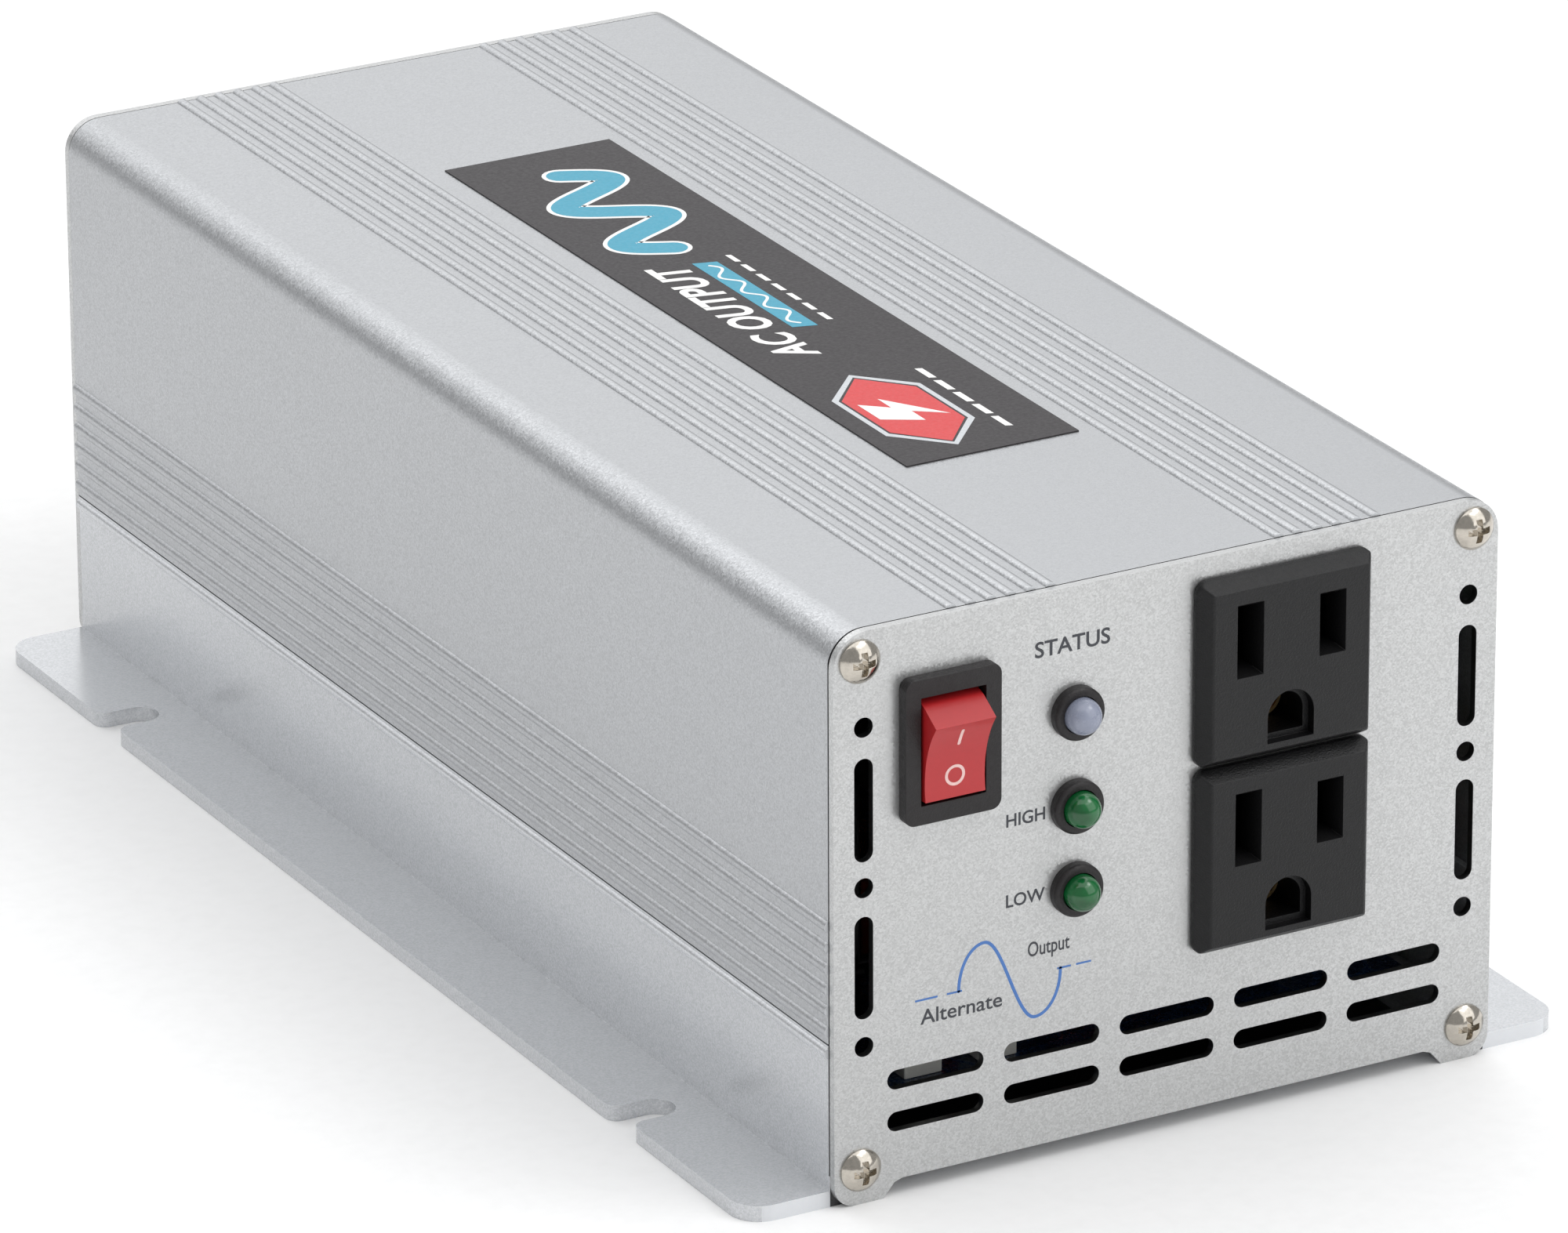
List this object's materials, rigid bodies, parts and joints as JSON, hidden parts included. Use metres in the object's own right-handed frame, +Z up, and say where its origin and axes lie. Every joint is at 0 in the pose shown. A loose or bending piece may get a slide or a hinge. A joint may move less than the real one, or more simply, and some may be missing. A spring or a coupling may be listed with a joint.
{
  "type": "power inverter",
  "caption": "Ribbed aluminium case with slotted mounting flanges, a rocker switch, indicator lamps, three-pin outlets, cooling fan and stud terminals.",
  "frame": {"origin": "centre of the whole part's box, on the plane that the feet stand on", "axes": "+X to the right seen from the front, +Y from the front panel to the rear panel, +Z up"},
  "size_m": [0.127, 0.2506, 0.082],
  "materials": {
    "case_aluminium": "bead-blasted, clear anodised",
    "chassis_aluminium": "bead-blasted, clear anodised",
    "panel_aluminium": "bead-blasted sheet",
    "nickel_screw": "bright nickel plate",
    "label_print": "satin printed film",
    "black_nylon": "fine moulded grain",
    "red_rocker": "semi-gloss moulded",
    "brass_part": "bright",
    "frosted_lamp": "frosted lens",
    "green_lamp": "diffused green lens",
    "outlet_plastic": "moulded grain",
    "board_laminate": "navy solder mask",
    "zinc_steel": "zinc plated",
    "insulating_film": "black film",
    "spreader_aluminium": "mill finish",
    "pad_silicone": "soft matte",
    "device_epoxy": "moulded epoxy",
    "ferrite": "sintered ferrite",
    "coil_tape": "polyester tape",
    "powder_core": "coated powder core",
    "copper_wire": "enamelled copper",
    "dark_sleeve": "shrunk vinyl sleeve",
    "film_box": "moulded box",
    "control_laminate": "green solder mask",
    "fuse_plastic": "tinted translucent",
    "white_nylon": "natural nylon",
    "fan_plastic": "moulded",
    "shaft_steel": "ground",
    "red_collar": "moulded",
    "plated_brass": "bright",
    "red_cable": "vinyl",
    "black_cable": "vinyl"
  },
  "bodies": {
    "case": {"upper_shell": "case_aluminium", "lower_chassis": "chassis_aluminium", "front_panel": "panel_aluminium", "rear_panel": "panel_aluminium", "front_panel_screws": "nickel_screw", "rear_panel_screws": "nickel_screw", "top_label": "label_print", "switch_housing": "black_nylon", "switch_terminals": "brass_part", "led_bezels": "black_nylon", "led_power": "frosted_lamp", "led_upper_status": "green_lamp", "led_lower_status": "green_lamp", "outlet_upper": "outlet_plastic", "outlet_lower": "outlet_plastic", "outlet_upper_contacts": "brass_part", "outlet_lower_contacts": "brass_part", "main_board": "board_laminate", "board_standoffs": "brass_part", "board_screws": "zinc_steel", "insulating_sheet": "insulating_film", "heat_spreader_left": "spreader_aluminium", "heat_spreader_right": "spreader_aluminium", "thermal_pads": "pad_silicone", "mosfets_left": "device_epoxy", "mosfets_right": "device_epoxy", "mosfet_clamps": "zinc_steel", "clamp_screws": "zinc_steel", "transformer_cores": "ferrite", "transformer_coils": "coil_tape", "inductor_cores": "powder_core", "inductor_windings": "copper_wire", "storage_capacitors": "dark_sleeve", "input_capacitors": "dark_sleeve", "film_capacitors": "film_box", "control_board": "control_laminate", "control_chips": "device_epoxy", "fuses": "fuse_plastic", "wire_headers": "white_nylon", "fan_frame": "fan_plastic", "fan_screws": "zinc_steel", "fan_nuts": "zinc_steel", "terminal_collars_red": "red_collar", "terminal_collars_black": "black_nylon", "terminal_studs": "brass_part", "ground_screw": "nickel_screw", "ground_washer": "zinc_steel", "dc_cable_red": "red_cable", "dc_cable_black": "black_cable", "ac_wires": "black_cable", "switch_wires": "black_cable", "lamp_wires": "white_nylon", "fan_wires": "red_cable"},
    "rocker": {"switch_rocker": "red_rocker"},
    "fan": {"fan_rotor": "fan_plastic", "fan_shaft": "shaft_steel"},
    "washer_red": {"washer_red": "zinc_steel"},
    "nut_red": {"nut_red": "plated_brass"},
    "washer_black": {"washer_black": "zinc_steel"},
    "nut_black": {"nut_black": "plated_brass"}
  },
  "joints": [
    {"name": "rocker_tip", "type": "hinge", "parent": "case", "child": "rocker", "pos_m": [-0.0338, -0.11833, 0.0635], "axis": [-1, 0, 0], "range_deg": [0, 27.6]},
    {"name": "fan_spin", "type": "hinge", "parent": "case", "child": "fan", "pos_m": [-0.02, 0.09927, 0.046], "axis": [0, 1, 0], "continuous": true},
    {"name": "washer_red_slide", "type": "slide", "parent": "case", "child": "washer_red", "axis": [0, 1, 0], "range_m": [0, 0.006]},
    {"name": "nut_red_turn", "type": "hinge", "parent": "washer_red", "child": "nut_red", "pos_m": [0.028, 0.11626, 0.06], "axis": [0, 1, 0], "range_deg": [0, 2160]},
    {"name": "washer_black_slide", "type": "slide", "parent": "case", "child": "washer_black", "axis": [0, 1, 0], "range_m": [0, 0.006]},
    {"name": "nut_black_turn", "type": "hinge", "parent": "washer_black", "child": "nut_black", "pos_m": [0.028, 0.11626, 0.034], "axis": [0, 1, 0], "range_deg": [0, 2160]}
  ],
  "couplings": [
    {"joint": "nut_red_turn", "follows": "washer_red_slide", "rad_per_m": 6283},
    {"joint": "nut_black_turn", "follows": "washer_black_slide", "rad_per_m": 6283}
  ]
}
